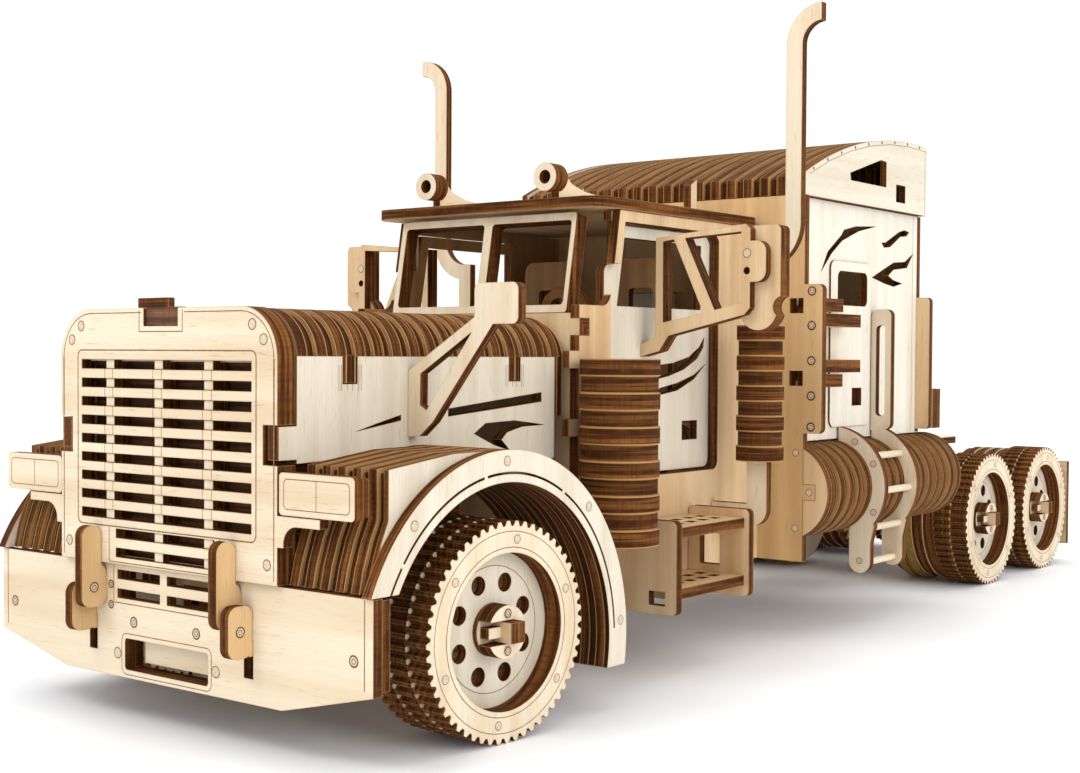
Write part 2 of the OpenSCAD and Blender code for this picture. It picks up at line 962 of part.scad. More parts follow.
// stacked muffler with a bent stack plate on top and a foot to the cab below
module exhaust(side) color(brown) truck() on_side(side) {
    for (i = [0 : 8])
        translate([50.4, 152, 50.4 + 3.92 * i])
            cylinder(h = 3.94, r = (i % 2 == 0) ? 6.2 : 5.7);
    plate_y(150.8, ply)
        union() {
            rect(57.9, 112, 62.4, 157.2);
            // tip bends outward
            difference() {
                intersection() {
                    disc(67.8, 157.2, 9.9);
                    rect(50, 157.1, 67.7, 170);
                }
                disc(67.8, 157.2, 5.4);
            }
            // foot of the stack bends in to the muffler
            difference() {
                intersection() {
                    disc(50.4, 112.1, 12);
                    rect(50.4, 95, 66, 112.2);
                }
                disc(50.4, 112.1, 7.5);
            }
            rect(48.2, 85.6, 52.6, 104.6);
            difference() {
                rect(48.2, 100.1, 50.6, 104.7);
                disc(48.2, 104.7, 2);
            }
        }
    plate_y(150.8, ply)
        difference() {
            union() {
                rect(47.3, 37.5, 53.2, 50.5);
                disc(48.9, 37.7, 4.3);
                rect(36.5, 33.4, 48.9, 39);
            }
            rect(30, 39, 47.3, 45);
        }
}

module exhaust_left() exhaust(1);

module exhaust_right() exhaust(-1);

// ---- sleeper ----

module sleeper_front_wall() color(tan) truck()
    plate_y(wall_y, ply)
        difference() {
            union() {
                rect(-50.2, 21.3, 50.2, 121.9);
                round_rect(-55.7, 56.6, 55.7, 97.4, 1.6);
                rect(-54, 38.4, 54, 42.6);
            }
            for (s = [-1, 1])
                on_side(s)
                    for (z = [69.6, 89.5])
                        rect(45.8, z, 49.9, z + 4.1);
            // pass-through from the cab
            round_rect(-14, 46, 14, 96, 3);
            rect(-12.1, 38.7, 12.1, 41.3);
            rect(-rail_x - 0.2, 15, rail_x + 0.2, 36.4);
        }

module sleeper_side(side) color(cream) truck() on_side(side) {
    plate_x(sleeper_w - ply, ply)
        difference() {
            rect(wall_y + ply + 0.1, 54, sleeper_end, 121.9);
            // window and peep hole of the bunk door
            round_rect(201.8, 92.5, 220.8, 102.4, 2);
            rect(211.4, 63.3, 217.6, 68.5);
            // flame cuts
            polygon([[192.4, 101.4], [196.5, 107.6], [204.6, 112.6], [206.5, 114.4], [214, 115.9],
                [227.6, 116.8], [216, 114.6], [205.5, 111.2], [199, 107.2]]);
            polygon([[231.2, 112.2], [234, 112.4], [243.6, 116.2], [247.4, 117], [251, 116.6],
                [249, 115.2], [244.6, 114.8], [237.4, 111.2], [233, 110.8]]);
            polygon([[225, 101.4], [234.6, 104.8], [240, 106.6], [248, 107.2], [254.2, 110.2],
                [249.6, 105.4], [240, 104.4], [236.4, 102.4], [240, 101.2], [246.4, 100.4],
                [240, 99.2], [233, 100]]);
        }
    // bunk door, a thin plate on the wall
    plate_x(sleeper_w - 0.05, 0.65)
        difference() {
            round_rect(197.6, 57.4, 223.2, 105.2, 2.4);
            round_rect(201.8, 92.5, 220.8, 102.4, 2);
            rect(211.4, 63.3, 217.6, 68.5);
        }
    // stepped arms that lock the wall ears to the side
    for (z = [[90.1, 14], [86, 25], [73.2, 25], [69.2, 14]])
        translate([sleeper_w + 0.5, wall_y + ply + 0.1, z[0]])
            cube([6.6, z[1], 3.6]);
    for (z = [88, 71.2])
        translate([sleeper_w - 1, wall_y + ply + 0.1, z])
            cube([2, 12, 3.6]);
}

module sleeper_side_left() sleeper_side(1);

module sleeper_side_right() sleeper_side(-1);

module sleeper_rear_wall() color(tan) truck() {
    plate_y(sleeper_end + 0.1, ply)
        difference() {
            union() {
                rect(-sleeper_w, 54, sleeper_w, 121.9);
                round_rect(-51, 55, 51, 96.4, 1.4);
            }
            round_rect(-18, 62, 18, 84, 2);
        }
    for (s = [-1, 1])
        on_side(s)
            translate([44.6, sleeper_end + 2.4, 55.2])
                cube([6.8, 5.6, 12.4]);
}

// arched roof line of the sleeper, in side view
module roof_arc(inset, depth) {
    difference() {
        intersection() {
            disc(248.6, -21.9, 165.7 - inset);
            rect(wall_y + 0.2 + inset, 122.1, sleeper_end + 2, 150);
        }
        intersection() {
            disc(248.6, -21.9, 165.7 - depth);
            rect(wall_y + depth - 1, 121, sleeper_end - 3, 150);
        }
    }
}

module sleeper_roof() color(brown) truck() {
    for (i = [-8 : 8])
        plate_x(rib_pitch * i - 1.45, 2.9)
            roof_arc(0, 6);
    for (i = [-8 : 7])
        plate_x(rib_pitch * i + 1.4, 2.5)
            roof_arc(rib_step, 6);
    // end boards with a window
    for (s = [-1, 1])
        on_side(s) {
            plate_x(44, 2.7)
                roof_arc(rib_step, 6);
            plate_x(sleeper_w + 0.1, 2)
                difference() {
                    roof_arc(0, 40);
                    polygon([[205.9, 130.7], [206.4, 128.6], [229.8, 128.6], [229.8, 136.2],
                        [226, 136.4]]);
                    rect(236.7, 124.8, 243.2, 130.1);
                }
        }
}

// ---- tanks and ladders ----

module tank(side) color(brown) truck() on_side(side) {
    // end plate let into the edge of the cross wall
    plate_y(wall_y, ply)
        difference() {
            disc(tank_x, tank_z, tank_r);
            rect(0, 20, 50.3, 60);
            rect(50, 38.3, 54.1, 42.7);
        }
    for (i = [0 : 16])
        translate([tank_x, wall_y + ply + 0.1 + rib_pitch * i, tank_z])
            rotate([-90, 0, 0])
                cylinder(h = 2.9, r = tank_r);
    for (i = [0 : 15])
        translate([tank_x, wall_y + ply + 2.9 + rib_pitch * i, tank_z])
            rotate([-90, 0, 0])
                cylinder(h = 2.6, r = tank_r - rib_step);
    // rear fill
    translate([tank_x, wall_y - 0.05 + ply, tank_z])
        rotate([-90, 0, 0])
            difference() {
                cylinder(h = 0.2, r = tank_r - 1);
                translate([-30, -20, -1])
                    cube([36, 40, 3]);
            }
}

module tank_left() tank(1);

module tank_right() tank(-1);

// strap round the tank that turns down into a ladder side
module strap_outline() {
    difference() {
        disc(tank_x, tank_z, 17.2);
        disc(tank_x, tank_z, tank_r + 0.1);
        rect(0, 0, 47.2, 80);
        polygon([[tank_x, tank_z], [70, 12], [30, 10]]);
    }
    difference() {
        union() {
            strip(54.2, 27.4, 54.2, 19, 6.6);
            polygon([[51, 26], [57, 31.4], [58.6, 29.6], [57.4, 24]]);
        }
        disc(tank_x, tank_z, tank_r + 0.1);
    }
}

module ladder(side) color(tan) truck() on_side(side) {
    plate_y(203, ply)
        strap_outline();
    plate_y(224.5, ply)
        union() {
            strap_outline();
            difference() {
                round_rect(46.8, 56, 53.2, 91.8, 2);
                round_rect(48.4, 60, 51.3, 87, 1.2);
            }
            rect(46.8, 55.6, 51, 60);
        }
    // rungs
    for (p = [[56.4, 49.2], [59.4, 39.4], [56.2, 28.6], [54.4, 18.4]])
        translate([p[0], 204, p[1]])
            rotate([-90, 0, 0])
                cylinder(h = 22, r = 1);
}

module ladder_left() ladder(1);

module ladder_right() ladder(-1);

// ---- show everything, or one node ----

bumper();
bumper_guard_left();
bumper_guard_right();
grille_frame();
grille_bars();
hood_latch();
headlight_left();
headlight_right();
fender_left();
fender_right();
chassis_frame();
front_axle();
engine_block();
firewall();
windshield_frame();
cab_side_left();
cab_side_right();
cab_roof();
roof_horns();
cab_floor();
seats();
air_cleaner_left();
air_cleaner_right();
step_left();
step_right();
exhaust_left();
exhaust_right();
sleeper_front_wall();
sleeper_side_left();
sleeper_side_right();
sleeper_rear_wall();
sleeper_roof();
tank_left();
tank_right();
ladder_left();
ladder_right();
rear_flap();
hood_ribs();
hood_panel_left();
hood_panel_right();
fender_mirror();
door_left();
door_right();
mirror_left();
mirror_right();
knuckle_left();
knuckle_right();
tie_rod();
front_wheel_left();
front_wheel_right();
rear_axle_front();
rear_axle_rear();
rear_wheel_left_1();
rear_wheel_right_1();
rear_wheel_left_2();
rear_wheel_right_2();
rubber_bands();
idler_gear();
steering_wheel();
fifth_wheel();
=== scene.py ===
"""Looks of the laser-cut plywood truck: wood materials, engraved lines, peg heads, camera and light."""
import json
import math

import bmesh
import bpy
from mathutils import Matrix, Vector


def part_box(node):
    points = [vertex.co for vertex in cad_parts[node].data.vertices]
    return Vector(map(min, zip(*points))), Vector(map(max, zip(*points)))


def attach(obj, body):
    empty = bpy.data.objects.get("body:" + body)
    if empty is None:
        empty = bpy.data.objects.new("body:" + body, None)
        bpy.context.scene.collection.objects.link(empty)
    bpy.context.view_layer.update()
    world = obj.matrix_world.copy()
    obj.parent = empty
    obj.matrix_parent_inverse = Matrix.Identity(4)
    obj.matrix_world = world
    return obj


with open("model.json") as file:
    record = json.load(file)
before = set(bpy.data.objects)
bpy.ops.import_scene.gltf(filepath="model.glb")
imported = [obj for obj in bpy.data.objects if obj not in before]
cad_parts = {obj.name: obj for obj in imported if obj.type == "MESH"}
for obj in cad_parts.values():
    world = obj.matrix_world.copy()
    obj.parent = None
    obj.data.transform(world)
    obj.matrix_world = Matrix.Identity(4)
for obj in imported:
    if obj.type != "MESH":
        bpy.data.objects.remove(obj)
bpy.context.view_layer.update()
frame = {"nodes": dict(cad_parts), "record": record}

MM = 0.001
NOSE_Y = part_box("bumper")[0][1]
X, Y, Z = 0, 1, 2
SIDES = (("left", 1), ("right", -1))

# sizes and places in place()'s millimetres, as the CAD has them
KINGPIN_X, KINGPIN_Y = 33.6, 40.0
# the front wheels stand turned about their kingpins
STEER = math.radians(-4.8)
REAR_AXLES = ((1, 310.8), (2, 362.2))
AXLE_Z = 22.3
# outer face of the front and the rear tyres, and how deep the dish and the hand holes lie behind it
FRONT_FACE, REAR_FACE = 58.6, 50.8
DISH_DEPTH, HOLE_DEPTH = 4.6, 7.0
# drawn lines stand this far off their plate
PROUD = 0.03


def place(x, y, z):
    """Millimetres from the bumper's front face, the middle and the ground, in metres of the frame."""
    return Vector((x * MM, NOSE_Y + y * MM, z * MM))


# ---------------------------------------------------------------- materials


class Graph:
    """Short calls for building a material's nodes."""

    def __init__(self, name):
        self.material = bpy.data.materials.new(name)
        self.material.use_nodes = True
        self.tree = self.material.node_tree
        self.tree.nodes.clear()
        self.out = self.add("ShaderNodeOutputMaterial")
        self.shader = self.add("ShaderNodeBsdfPrincipled")
        self.link(self.shader.outputs[0], self.out.inputs[0])
        self.coords = self.add("ShaderNodeTexCoord")

    def add(self, kind, **settings):
        node = self.tree.nodes.new(kind)
        for key, value in settings.items():
            setattr(node, key, value)
        return node

    def link(self, a, b):
        self.tree.links.new(a, b)

    def feed(self, socket, value):
        if isinstance(value, bpy.types.NodeSocket):
            self.link(value, socket)
        else:
            socket.default_value = value

    def math(self, operation, a, b=0.0):
        node = self.add("ShaderNodeMath", operation=operation)
        self.feed(node.inputs[0], a)
        self.feed(node.inputs[1], b)
        return node.outputs[0]

    def ramp(self, value, low, high, start=0.0, end=1.0, smooth=True):
        node = self.add("ShaderNodeMapRange")
        node.interpolation_type = "SMOOTHSTEP" if smooth else "LINEAR"
        self.feed(node.inputs["Value"], value)
        node.inputs["From Min"].default_value = low
        node.inputs["From Max"].default_value = high
        node.inputs["To Min"].default_value = start
        node.inputs["To Max"].default_value = end
        return node.outputs[0]

    def noise(self, scale, detail=2.0, rough=0.5, offset=(0, 0, 0)):
        """Noise in the object's own space; scale is a frequency per metre along X, Y and Z."""
        mapping = self.add("ShaderNodeMapping")
        mapping.inputs["Location"].default_value = offset
        mapping.inputs["Scale"].default_value = scale
        self.link(self.coords.outputs["Object"], mapping.inputs["Vector"])
        node = self.add("ShaderNodeTexNoise")
        node.inputs["Scale"].default_value = 1.0
        node.inputs["Detail"].default_value = detail
        node.inputs["Roughness"].default_value = rough
        self.link(mapping.outputs[0], node.inputs["Vector"])
        return node.outputs[0]

    def mix(self, factor, a, b, blend="MIX"):
        node = self.add("ShaderNodeMix", data_type="RGBA", blend_type=blend)
        self.feed(node.inputs[0], factor)
        for socket, value in ((node.inputs[6], a), (node.inputs[7], b)):
            if isinstance(value, tuple):
                socket.default_value = (*value, 1.0)
            else:
                self.link(value, socket)
        return node.outputs[2]

    def bump(self, height, distance, strength=1.0):
        node = self.add("ShaderNodeBump")
        node.inputs["Strength"].default_value = strength
        node.inputs["Distance"].default_value = distance
        self.link(height, node.inputs["Height"])
        self.link(node.outputs[0], self.shader.inputs["Normal"])

    def finish(self, colour, roughness):
        self.link(colour, self.shader.inputs["Base Color"])
        self.link(roughness, self.shader.inputs["Roughness"])
        return self.material


def stretched(across, along, grain):
    """A frequency for each axis, low along the grain."""
    return tuple(along if axis == grain else across for axis in range(3))


# light and deep colour of each face veneer
FACE_TONES = {
    "pale": ((0.81, 0.765, 0.665), (0.70, 0.64, 0.525)),
    "white": ((0.745, 0.675, 0.55), (0.61, 0.53, 0.40)),
    "cream": ((0.77, 0.665, 0.50), (0.65, 0.50, 0.325)),
    "tan": ((0.72, 0.53, 0.315), (0.56, 0.36, 0.18)),
    # the honey tone is painted shade: a deeper tan for the plates that stand in shade, the bumper guards and
    # the wall behind the cab
    "shade_honey": ((0.69, 0.47, 0.24), (0.53, 0.335, 0.15)),
    "amber": ((0.46, 0.26, 0.10), (0.28, 0.14, 0.05)),
}
PORE = (0.27, 0.16, 0.08)
# colours of a laser-cut edge, of the stain and the border beside it, and painted shade for a groove between
# ribs
CHAR = (0.052, 0.017, 0.004)
LIGHT_PLY = (0.225, 0.085, 0.021)
SCORCH = (0.135, 0.044, 0.011)
SOOTY_RAY = (0.026, 0.009, 0.003)
SMOKE = (0.42, 0.225, 0.085)
GOLD = (0.58, 0.33, 0.125)
GROOVE_SHADE = (0.022, 0.008, 0.003)
# width in metres of the smoke stain beside a cut
STAIN_WIDTH = 0.00045


def veneer(graph, tone, grain):
    """Birch face veneer: fine lines along the grain, slow bands and small dark pores."""
    light, deep = FACE_TONES[tone]
    bands = graph.noise(stretched(190, 9, grain), 2.0, 0.5)
    fibres = graph.noise(stretched(2300, 45, grain), 3.0, 0.65)
    pores = graph.noise(stretched(3400, 190, grain), 1.0, 0.5, (3.1, 1.7, 5.2))
    cloud = graph.noise((30, 30, 30), 2.0, 0.5, (7.7, 0.4, 2.9))
    body = graph.mix(graph.ramp(bands, 0.3, 0.75), light, deep)
    body = graph.mix(graph.ramp(fibres, 0.46, 0.78, 0.0, 0.55), body, deep)
    body = graph.mix(graph.ramp(cloud, 0.35, 0.75, 0.0, 0.4), body, light)
    pore_mask = graph.ramp(pores, 0.62, 0.80, 0.0, 0.36)
    body = graph.mix(pore_mask, body, PORE)
    return body, fibres, pore_mask


def scorched(graph, axis):
    """Laser-cut edge: dark brown, with the plies showing as uneven lighter lines."""
    plies = graph.noise(tuple(1150 if k == axis else 26 for k in range(3)), 2.0, 0.6, (0.9, 2.3, 4.1))
    burn = graph.noise((240, 240, 240), 3.0, 0.6, (5.0, 9.1, 1.2))
    rays = graph.noise(tuple(60 if k == axis else 1700 for k in range(3)), 2.0, 0.5)
    core = graph.mix(graph.ramp(plies, 0.42, 0.66), CHAR, LIGHT_PLY)
    core = graph.mix(graph.ramp(burn, 0.38, 0.72, 0.0, 0.6), core, SCORCH)
    core = graph.mix(graph.ramp(rays, 0.42, 0.70, 0.0, 0.3), core, SOOTY_RAY)
    return core, plies


def ribbing(graph, axis, pitch, start, share):
    """Laminated skin: painted shade darkens the grooves, with a bright line at each glued border.

    pitch of a pair of layers and start of the thick one in millimetres; share is the thick one's part.
    """
    spot = graph.add("ShaderNodeSeparateXYZ")
    graph.link(graph.coords.outputs["Object"], spot.inputs[0])
    along = spot.outputs[axis]
    if axis == X:
        along = graph.math("ABSOLUTE", along)
    pairs = graph.math("DIVIDE", graph.math("SUBTRACT", along, start * MM), pitch * MM)
    part = graph.math("FRACT", pairs)
    groove = graph.ramp(part, share - 0.01, share + 0.01)
    edge = graph.math("MINIMUM", part, graph.math("SUBTRACT", 1.0, part))
    edge = graph.math("MINIMUM", edge, graph.math("ABSOLUTE", graph.math("SUBTRACT", part, share)))
    return groove, graph.ramp(edge, 0.012, 0.045, 1.0, 0.0)


def plywood(name, axis, grain, tone, ribs=None):
    """Plate whose sheet normal runs along axis: veneer on its two faces, scorched round its edges."""
    graph = Graph(name)
    normal = graph.add("ShaderNodeSeparateXYZ")
    graph.link(graph.coords.outputs["Normal"], normal.inputs[0])
    face = graph.ramp(graph.math("ABSOLUTE", normal.outputs[axis]), 0.80, 0.95)
    body, fibres, pore_mask = veneer(graph, tone, grain)
    # smoke stain that the laser leaves on the face beside each cut
    rounded = graph.add("ShaderNodeBevel", samples=4)
    rounded.inputs["Radius"].default_value = STAIN_WIDTH
    geometry = graph.add("ShaderNodeNewGeometry")
    align = graph.add("ShaderNodeVectorMath", operation="DOT_PRODUCT")
    graph.link(rounded.outputs[0], align.inputs[0])
    graph.link(geometry.outputs["Normal"], align.inputs[1])
    near_cut = graph.ramp(align.outputs["Value"], 0.72, 1.0, 1.0, 0.0)
    body = graph.mix(graph.math("MULTIPLY", near_cut, 0.6), body, SMOKE)
    core, plies = scorched(graph, axis)
    # golden line where the cut edge meets the face, and between glued layers
    gold = graph.math("MULTIPLY", near_cut, 0.25 if ribs else 0.5)
    if ribs:
        groove, border = ribbing(graph, axis, *ribs)
        # painted shade in the grooves between the ribs, weaker on ribs stacked along Z
        shade = graph.math("MULTIPLY", groove, 0.25 if axis == Z else 0.55)
        core = graph.mix(shade, core, GROOVE_SHADE)
        gold = graph.math("MAXIMUM", gold, graph.math("MULTIPLY", border, 0.75))
    core = graph.mix(gold, core, GOLD)
    gloss = graph.ramp(face, 0.0, 1.0, 0.08, 0.26, smooth=False)
    graph.link(gloss, graph.shader.inputs["Specular IOR Level"])
    relief = graph.math("SUBTRACT", graph.math("MULTIPLY", fibres, 0.6), pore_mask)
    relief = graph.math("ADD", relief, graph.math("MULTIPLY", graph.math("SUBTRACT", 1.0, face), plies))
    graph.bump(relief, 0.00006, 0.7)
    return graph.finish(graph.mix(face, core, body), graph.ramp(face, 0.0, 1.0, 0.78, 0.56, smooth=False))


def dowel():
    """Round birch stick: pale all over, lightly streaked."""
    graph = Graph("birch_stick")
    body, fibres, _ = veneer(graph, "cream", Y)
    graph.bump(fibres, 0.00005, 0.6)
    return graph.finish(body, graph.ramp(fibres, 0.2, 0.8, 0.5, 0.66))


def burnt():
    """Piece seen only by its cut edges; the same dark colour is laid as painted shade behind the grille and
    in the hand holes.
    """
    graph = Graph("burnt_edge_and_shade")
    core, plies = scorched(graph, Z)
    graph.bump(plies, 0.00006, 0.7)
    return graph.finish(core, graph.ramp(plies, 0.2, 0.8, 0.7, 0.8))


def rubber():
    """Olive rubber bands, dulled by wear."""
    graph = Graph("rubber_band")
    wear = graph.noise((900, 900, 900), 3.0, 0.6)
    body = graph.mix(graph.ramp(wear, 0.35, 0.7), (0.19, 0.105, 0.006), (0.33, 0.19, 0.012))
    graph.bump(wear, 0.00005)
    return graph.finish(body, graph.ramp(wear, 0.3, 0.7, 0.5, 0.7))


def laser_line():
    """Bottom of an engraved line: burnt wood."""
    graph = Graph("laser_line")
    burn = graph.noise((1400, 1400, 1400), 3.0, 0.7)
    body = graph.mix(graph.ramp(burn, 0.35, 0.7), (0.13, 0.062, 0.026), (0.32, 0.18, 0.085))
    graph.bump(burn, 0.00003)
    return graph.finish(body, graph.ramp(burn, 0.3, 0.7, 0.7, 0.85))


def end_grain():
    """Sawn end of a round peg: warm, with darker specks."""
    graph = Graph("peg_end")
    speck = graph.noise((2600, 2600, 2600), 3.0, 0.7)
    body = graph.mix(graph.ramp(speck, 0.35, 0.72), (0.70, 0.585, 0.42), (0.47, 0.355, 0.225))
    graph.bump(speck, 0.00005)
    return graph.finish(body, graph.ramp(speck, 0.3, 0.7, 0.5, 0.7))


def paper_floor():
    """Studio paper: a cool white with a faint, slow mottle."""
    graph = Graph("floor_white")
    soft = graph.noise((9, 9, 9), 2.0, 0.5)
    body = graph.mix(soft, (0.95, 0.96, 0.975), (0.965, 0.975, 0.985))
    graph.link(body, graph.shader.inputs["Base Color"])
    graph.shader.inputs["Roughness"].default_value = 0.62
    graph.shader.inputs["Specular IOR Level"].default_value = 0.25
    return graph.material


# laminated parts: pitch of a pair of layers, where the thick one starts, and its share of the pair
HOOD_RIBS = (5.33, (NOSE_Y / MM) + 3.6, 0.54)
TANK_RIBS = (5.33, (NOSE_Y / MM) + 178.5, 0.54)
ROOF_RIBS = (5.33, -1.45, 0.54)
FENDER_RIBS = (4.07, 34.6, 0.55)
CLEANER_RIBS = (7.8, 34, 0.5)
MUFFLER_RIBS = (7.84, 50.4, 0.5)

# sheet normal, grain direction, tone and ribs of every CAD node, by the start of its name
LOOK = {
    # painted shade: bumper_guard and sleeper_front_wall take the deeper honey tone for the shade they stand
    # in
    "bumper": (Y, X, "cream"), "bumper_guard": (X, Z, "shade_honey"), "grille_frame": (Y, X, "cream"),
    "grille_bars": (Y, Z, "cream"), "hood_latch": (Z, X, "tan"), "headlight": (Y, X, "cream"),
    "fender": (X, Z, "white"), "chassis_frame": (X, Y, "tan"), "front_axle": (Z, X, "tan"),
    "engine_block": (Z, Y, "amber"), "firewall": (Y, Z, "tan"), "windshield_frame": (Y, Z, "cream"),
    "cab_side": (X, Z, "tan"), "cab_roof": (Z, Y, "tan"), "roof_horns": (X, Y, "cream"),
    # painted shade: cab_floor and seats take the dark amber tone for the shade inside the cab
    "cab_floor": (Z, Y, "amber"), "seats": (Y, Z, "amber"), "air_cleaner": (Z, X, "amber", CLEANER_RIBS),
    "step": (Y, Z, "tan"), "exhaust": (Y, Z, "cream"), "sleeper_front_wall": (Y, Z, "shade_honey"),
    "sleeper_side": (X, Z, "pale"), "sleeper_rear_wall": (Y, Z, "tan"),
    "sleeper_roof": (X, Y, "amber", ROOF_RIBS), "tank": (Y, Z, "amber", TANK_RIBS),
    "ladder": (Y, Z, "cream"), "rear_flap": (Y, X, "tan"), "hood_ribs": (Y, X, "amber", HOOD_RIBS),
    "hood_panel": (X, Z, "white"), "fender_mirror": (Y, Z, "cream"),
    "door": (X, Z, "white"), "mirror": (Y, Z, "tan"), "knuckle": (Z, X, "tan"),
    "tie_rod": (Z, X, "cream"), "front_wheel": (X, Z, "cream"), "rear_axle": (X, Z, "tan"),
    "rear_wheel": (X, Z, "cream"), "idler_gear": (X, Z, "tan"), "steering_wheel": (Y, X, "amber"),
    "fifth_wheel": (Z, Y, "cream"),
}
_made = {}


def wood(axis, grain, tone, ribs=None):
    """Plywood of that kind, made once."""
    key = f"plywood_{'xyz'[axis]}_{'xyz'[grain]}_{tone}"
    if ribs:
        key += f"_ribs_{ribs[0]:g}_{ribs[1]:g}"
    if key not in _made:
        _made[key] = plywood(key, axis, grain, tone, ribs)
    return _made[key]


def look_of(node):
    """Entry of LOOK with the longest name that the node's name starts with."""
    for length in range(len(node), 0, -1):
        if node[:length] in LOOK:
            return LOOK[node[:length]]
    raise KeyError(node)


def region(node, material, inside):
    """Second material on the faces of a node whose centre passes the test, in place()'s millimetres."""
    mesh = frame["nodes"][node].data
    mesh.materials.append(material)
    slot = len(mesh.materials) - 1
    for polygon in mesh.polygons:
        x, y, z = frame["nodes"][node].matrix_world @ polygon.center
        if inside(x / MM, (y - NOSE_Y) / MM, z / MM):
            polygon.material_index = slot


def dress_plates():
    """Parts of a node whose plates lie another way, or come from another sheet."""
    latch_top = 86.88
    region("hood_latch", SOOT_AND_SHADE, lambda x, y, z: z < latch_top)
    cowl_bottom, cowl_front = 82.3, 93.9
    region("firewall", wood(Z, X, "tan"), lambda x, y, z: z > cowl_bottom and y > cowl_front)
    roof_board = 46.55
    region("sleeper_roof", wood(X, Y, "white"), lambda x, y, z: abs(x) > roof_board)
    bell_back, bell_bottom = 104.3, 117.8
    region("roof_horns", wood(Y, Z, "cream"), lambda x, y, z: y < bell_back and z > bell_bottom)
    rail_inside, rail_top, deck_front, deck_top = 12.3, 36.1, 262, 38.6
    region("chassis_frame", wood(Y, Z, "tan"), lambda x, y, z: abs(x) < rail_inside and z < rail_top)
    region("chassis_frame", wood(Z, Y, "cream"),
           lambda x, y, z: y > deck_front and rail_top - 0.05 < z < deck_top)


def dress_side(side):
    """The same for the nodes that stand on both sides, and painted shade on the inner faces of the cab sides
    and doors.
    """
    fender_plate, cab_inside, door_inside, shelf_inside = 54.9, 33.95, 31.35, 47.2
    region(f"fender_{side}", wood(X, Z, "amber", FENDER_RIBS), lambda x, y, z: abs(x) < fender_plate)
    # painted shade: the inner faces of the cab sides and doors take the dark amber veneer
    region(f"cab_side_{side}", wood(X, Z, "amber"), lambda x, y, z: abs(x) < cab_inside)
    region(f"door_{side}", wood(X, Z, "amber"), lambda x, y, z: abs(x) < door_inside)
    tank_front = 178.45
    region(f"tank_{side}", wood(Y, Z, "tan"), lambda x, y, z: y < tank_front)
    muffler_low, muffler_high, foot_inside = 50.3, 85.75, 56.8
    region(f"exhaust_{side}", wood(Z, X, "amber", MUFFLER_RIBS),
           lambda x, y, z: muffler_low < z < muffler_high and abs(x) < foot_inside)
    tread_front, tread_back = 108.62, 139.55
    region(f"step_{side}", wood(Z, Y, "tan"), lambda x, y, z: tread_front < y < tread_back)
    region(f"sleeper_side_{side}", wood(Z, Y, "tan"), lambda x, y, z: abs(x) > shelf_inside)
    rung_front, rung_back = 205.5, 224.4
    region(f"ladder_{side}", STICK, lambda x, y, z: rung_front < y < rung_back)


def dress_wheel(node, s, face, wedge_x, wedge_y, pivot=0.0, turn=0.0):
    """Dish inside the tyre in the white veneer, a painted light that lifts the shade of its recess, and the
    wedge through the axle's end.
    """
    wedge_reach, wedge_front, wedge_back, wedge_half = 4.6, -1.3, 3.3, 2.3

    def on_dish(x, y, z):
        across = pivot + (x - pivot) * math.cos(turn) + (y - KINGPIN_Y) * math.sin(turn)
        return abs(s * across - (face - DISH_DEPTH)) < 0.1

    def on_wedge(x, y, z):
        beside = abs(x - wedge_x) < wedge_reach and abs(z - AXLE_Z) < wedge_half
        return beside and wedge_front < y - wedge_y < wedge_back

    # painted light: the dish floor takes a slightly lighter veneer than the tyre's face, against the shade
    # of its recess
    region(node, wood(X, Z, "white"), on_dish)
    region(node, wood(Y, Z, "tan"), on_wedge)


def dress_frame():
    for node, obj in frame["nodes"].items():
        obj.data.materials.clear()
        obj.data.materials.append(rubber() if node == "rubber_bands" else wood(*look_of(node)))
    dress_plates()
    # middles of the wedges; steering shifts the front ones, the left one forwards and the right one back
    front_wedge, rear_wedge, wedge_shift = 57.5, 50.5, 2.1
    for side, s in SIDES:
        dress_side(side)
        dress_wheel(f"front_wheel_{side}", s, FRONT_FACE, s * front_wedge, KINGPIN_Y - s * wedge_shift,
                    s * KINGPIN_X, STEER)
        for row, y in REAR_AXLES:
            dress_wheel(f"rear_wheel_{side}_{row}", s, REAR_FACE, s * rear_wedge, y)


# ---------------------------------------------------------------- engraved lines and pegs

LINE = laser_line()
PEG = end_grain()
# the burnt-edge colour also serves as painted shade behind the grille slats and in the hand holes
SOOT_AND_SHADE = burnt()
STICK = dowel()
# slots of a Sheet's materials
LINE_SLOT, PEG_SLOT, SOOT_AND_SHADE_SLOT = range(3)

BODY_OF = {}
for body_name, body_nodes in frame["record"]["behaviour"]["bodies"].items():
    for body_node in body_nodes:
        BODY_OF[body_node] = body_name


